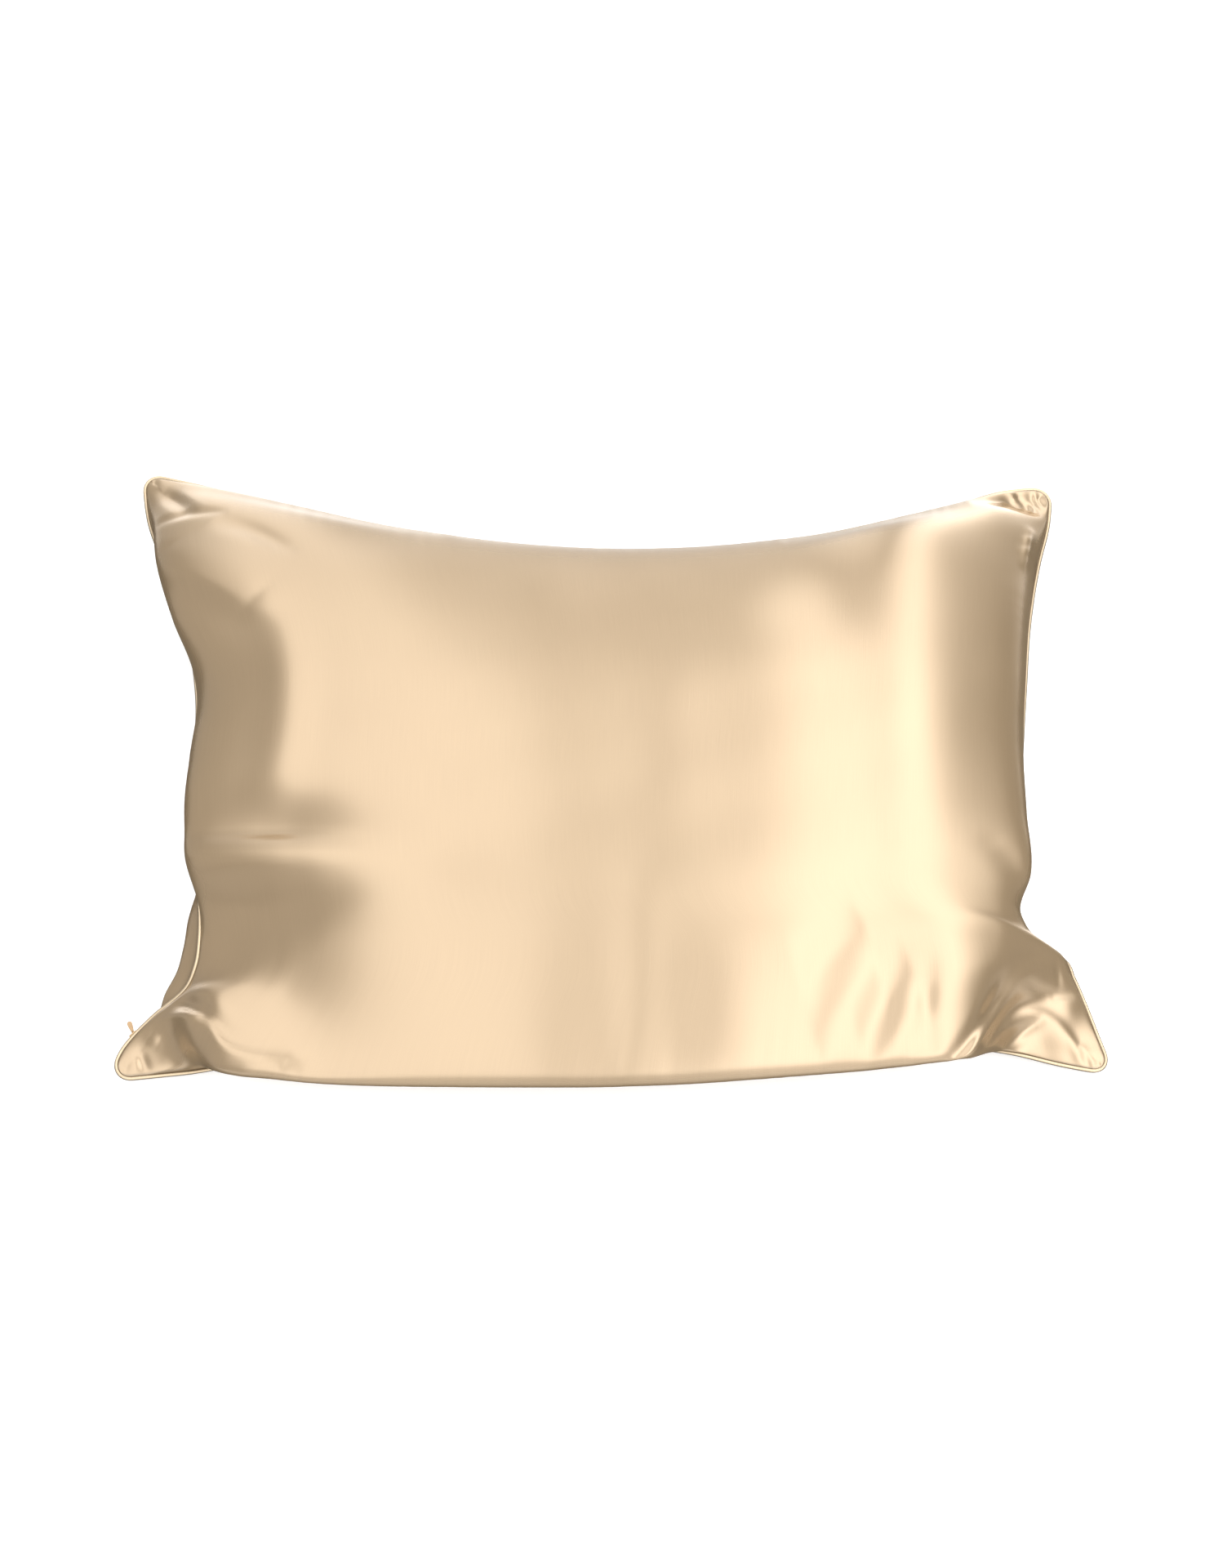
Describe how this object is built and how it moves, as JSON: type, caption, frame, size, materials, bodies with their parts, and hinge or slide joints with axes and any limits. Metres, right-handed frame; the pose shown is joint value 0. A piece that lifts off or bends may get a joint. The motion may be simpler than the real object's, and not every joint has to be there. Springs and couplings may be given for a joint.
{
  "type": "pillowcase",
  "caption": "Piped satin pillowcase filled by its pillow, with a crowned face, drawn-in sides and flattened corner ears.",
  "frame": {"origin": "centre of the bounding box's underside, on the surface that the back lies on", "axes": "+X along the long sides, towards the side away from the zip; +Y from the lower long side, whose seam is tucked under, to the upper one; +Z out of the face"},
  "size_m": [0.7513, 0.5154, 0.1568],
  "materials": {
    "case_satin": "champagne gold silk satin with a soft directional sheen",
    "piping_satin": "lighter cream satin piping, bias cut",
    "zip_metal": "small bronze-coloured zip slider",
    "zip_tab": "tan teardrop pull tab"
  },
  "bodies": {
    "root": {"case": "case_satin", "piping": "piping_satin", "zip_slider": "zip_metal", "zip_pull": "zip_tab"}
  },
  "joints": []
}
